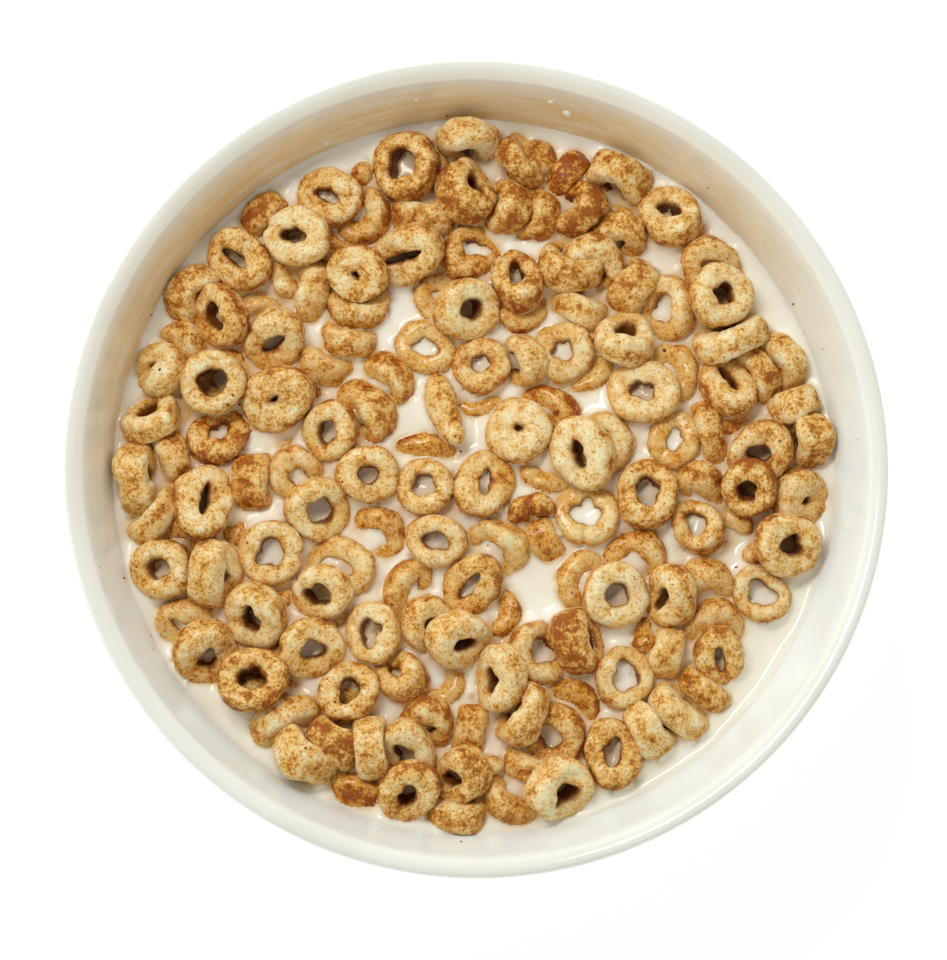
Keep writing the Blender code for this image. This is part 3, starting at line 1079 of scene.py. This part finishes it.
class CEREAL_OT_turn_bowl(bpy.types.Operator):
    """Turn the glazed bowl on its foot ring"""

    bl_idname = "cereal.turn_bowl"
    bl_label = "Turn the Bowl"

    def execute(self, context):
        settings = context.scene.cereal_bowl
        outline = [(0, FLOOR_LEVEL), (FLOOR_REACH / 2, FLOOR_LEVEL), *inner_wall(settings)]
        outline += [*lip_arc(settings), *outer_wall(settings), *foot_outline()]
        bowl = turned("bowl_body", outline)
        finish_piece(bowl, "bowl", glaze_material(settings))
        return {"FINISHED"}


class CEREAL_OT_settle_cereal(bpy.types.Operator):
    """Shape every ring, drop them into the milk and let them float to rest"""

    bl_idname = "cereal.settle_cereal"
    bl_label = "Settle the Cereal"

    def execute(self, context):
        settings = context.scene.cereal_rings
        sizes = context.scene.cereal_bowl
        level = context.scene.cereal_milk.level
        chance = np.random.default_rng(settings.seed)
        pieces = cereal_pieces(settings, chance)
        density = np.repeat([settings.soaked_weight, settings.dry_weight],
                            [settings.soaked_pieces, settings.dry_pieces])
        density = density * chance.uniform(0.65, 1.35, len(pieces))
        turned_to, middles = settle(pieces, sizes, level, density, chance)
        for piece, rotation, middle in zip(pieces, turned_to, middles):
            piece["placed"] = piece["surface"] @ rotation.T + middle
        shown = [piece for piece in pieces if piece["placed"][..., 2].max() > level - 1 * MM]
        crust = cereal_material(settings)
        for name in KINDS:
            found = [piece for piece in shown if piece["kind"] == name]
            if not found:
                raise RuntimeError(f"no piece of the kind {name} shows")
            finish_piece(joined(f"cereal_{name}", found), "cereal", crust)
        return {"FINISHED"}


class CEREAL_OT_pour_milk(bpy.types.Operator):
    """Fill the bowl with milk that climbs the wall and the cereal, and wet the cereal with it"""

    bl_idname = "cereal.pour_milk"
    bl_label = "Pour the Milk"

    def execute(self, context):
        settings = context.scene.cereal_milk
        sizes = context.scene.cereal_bowl
        field = milk_field(settings.level, settings.climb, settings.reach, sizes)
        milk = stood("milk_pool", milk_mesh(field, settings.level, settings.climb, sizes))
        finish_piece(milk, "milk", milk_material(settings))
        for thing in cereal_objects():
            points = np.array([vertex.co for vertex in thing.data.vertices])
            surface = settings.level + sampled(field, "height", points[:, 0], points[:, 1])
            store(thing.data, "wet", np.exp(-np.clip(points[:, 2] - surface, 0, None) / WETTED))
        return {"FINISHED"}


class CEREAL_OT_scatter_crumbs(bpy.types.Operator):
    """Scatter crumbs over the milk, the rings and the wall"""

    bl_idname = "cereal.scatter_crumbs"
    bl_label = "Scatter the Crumbs"

    def execute(self, context):
        settings = context.scene.cereal_rings
        chance = np.random.default_rng(settings.seed + 1)
        level = context.scene.cereal_milk.level
        shapes = crumb_shapes(settings, context.scene.cereal_bowl, level, chance)
        crumbs = scattered("crumbs", shapes)
        finish_piece(crumbs, "cereal", crumb_material(settings))
        return {"FINISHED"}


class CEREAL_OT_splash_milk(bpy.types.Operator):
    """Splash a few drops of milk on the bowl's wall"""

    bl_idname = "cereal.splash_milk"
    bl_label = "Splash the Milk"

    def execute(self, context):
        settings = context.scene.cereal_milk
        chance = np.random.default_rng(context.scene.cereal_rings.seed + 2)
        shapes = drop_shapes(settings, context.scene.cereal_bowl, settings.level, chance)
        drops = scattered("milk_drops", shapes)
        finish_piece(drops, "milk", bpy.data.objects["milk_pool"].active_material)
        return {"FINISHED"}


class CEREAL_OT_set_stage(bpy.types.Operator):
    """Lay the floor and set the lights and the camera"""

    bl_idname = "cereal.set_stage"
    bl_label = "Set the Stage"

    def execute(self, context):
        settings = context.scene.cereal_stage
        rim = Vector((0, 0, BOWL_HIGH.z))
        bpy.ops.mesh.primitive_circle_add(vertices=96, radius=FLOOR_RADIUS, fill_type="NGON")
        floor = context.object
        floor.name = "floor"
        floor.data.materials.append(floor_material(settings))

        key = bpy.data.lights.new("key", "AREA")
        key.shape = "RECTANGLE"
        key.size = KEY_LENGTH
        key.size_y = KEY_WIDTH
        key.energy = settings.key_power
        key.color = settings.daylight[:3]
        lamp = stood("key", key)
        lamp.location = rim + KEY_PLACE
        aimed(lamp, rim, (0, 0, 1))

        context.scene.world = tent(settings)
        context.scene.view_settings.view_transform = "Standard"

        lens = bpy.data.cameras.new("camera")
        camera = stood("camera", lens)
        target = rim + VIEW_CENTRE
        camera.location = target + VIEW_LEAN * settings.camera_range
        aimed(camera, target, (0, 1, 0))
        lens.sensor_width = FILM_WIDTH
        lens.lens = FILM_WIDTH * settings.camera_range / VIEW_WIDTH
        lens.clip_start = 0.01
        context.scene.camera = camera
        return {"FINISHED"}


class CEREAL_PT_panel(bpy.types.Panel):
    """Lists the operators in the order in which they run, and then the sizes and colours that they read"""

    bl_idname = "CEREAL_PT_panel"
    bl_label = "Bowl of Cereal"
    bl_space_type = "VIEW_3D"
    bl_region_type = "UI"
    bl_category = "Cereal"

    def draw(self, context):
        for operator in OPERATORS:
            self.layout.operator(operator.bl_idname)
        for name, kind in SETTINGS.items():
            self.layout.separator()
            for setting in kind.__annotations__:
                self.layout.prop(getattr(context.scene, name), setting)


OPERATORS = (CEREAL_OT_turn_bowl, CEREAL_OT_settle_cereal, CEREAL_OT_pour_milk, CEREAL_OT_scatter_crumbs,
             CEREAL_OT_splash_milk, CEREAL_OT_set_stage)
SETTINGS = {"cereal_bowl": BowlSettings, "cereal_milk": MilkSettings, "cereal_rings": CerealSettings,
            "cereal_stage": StageSettings}


def register():
    for kind in (*SETTINGS.values(), *OPERATORS, CEREAL_PT_panel):
        bpy.utils.register_class(kind)
    for name, kind in SETTINGS.items():
        setattr(bpy.types.Scene, name, PointerProperty(type=kind))


def unregister():
    for name in SETTINGS:
        delattr(bpy.types.Scene, name)
    for kind in (CEREAL_PT_panel, *OPERATORS, *SETTINGS.values()):
        bpy.utils.unregister_class(kind)


def main():
    register()
    bpy.ops.cereal.turn_bowl()
    bpy.ops.cereal.settle_cereal()
    bpy.ops.cereal.pour_milk()
    bpy.ops.cereal.scatter_crumbs()
    bpy.ops.cereal.splash_milk()
    bpy.ops.cereal.set_stage()


if __name__ == "__main__":
    main()
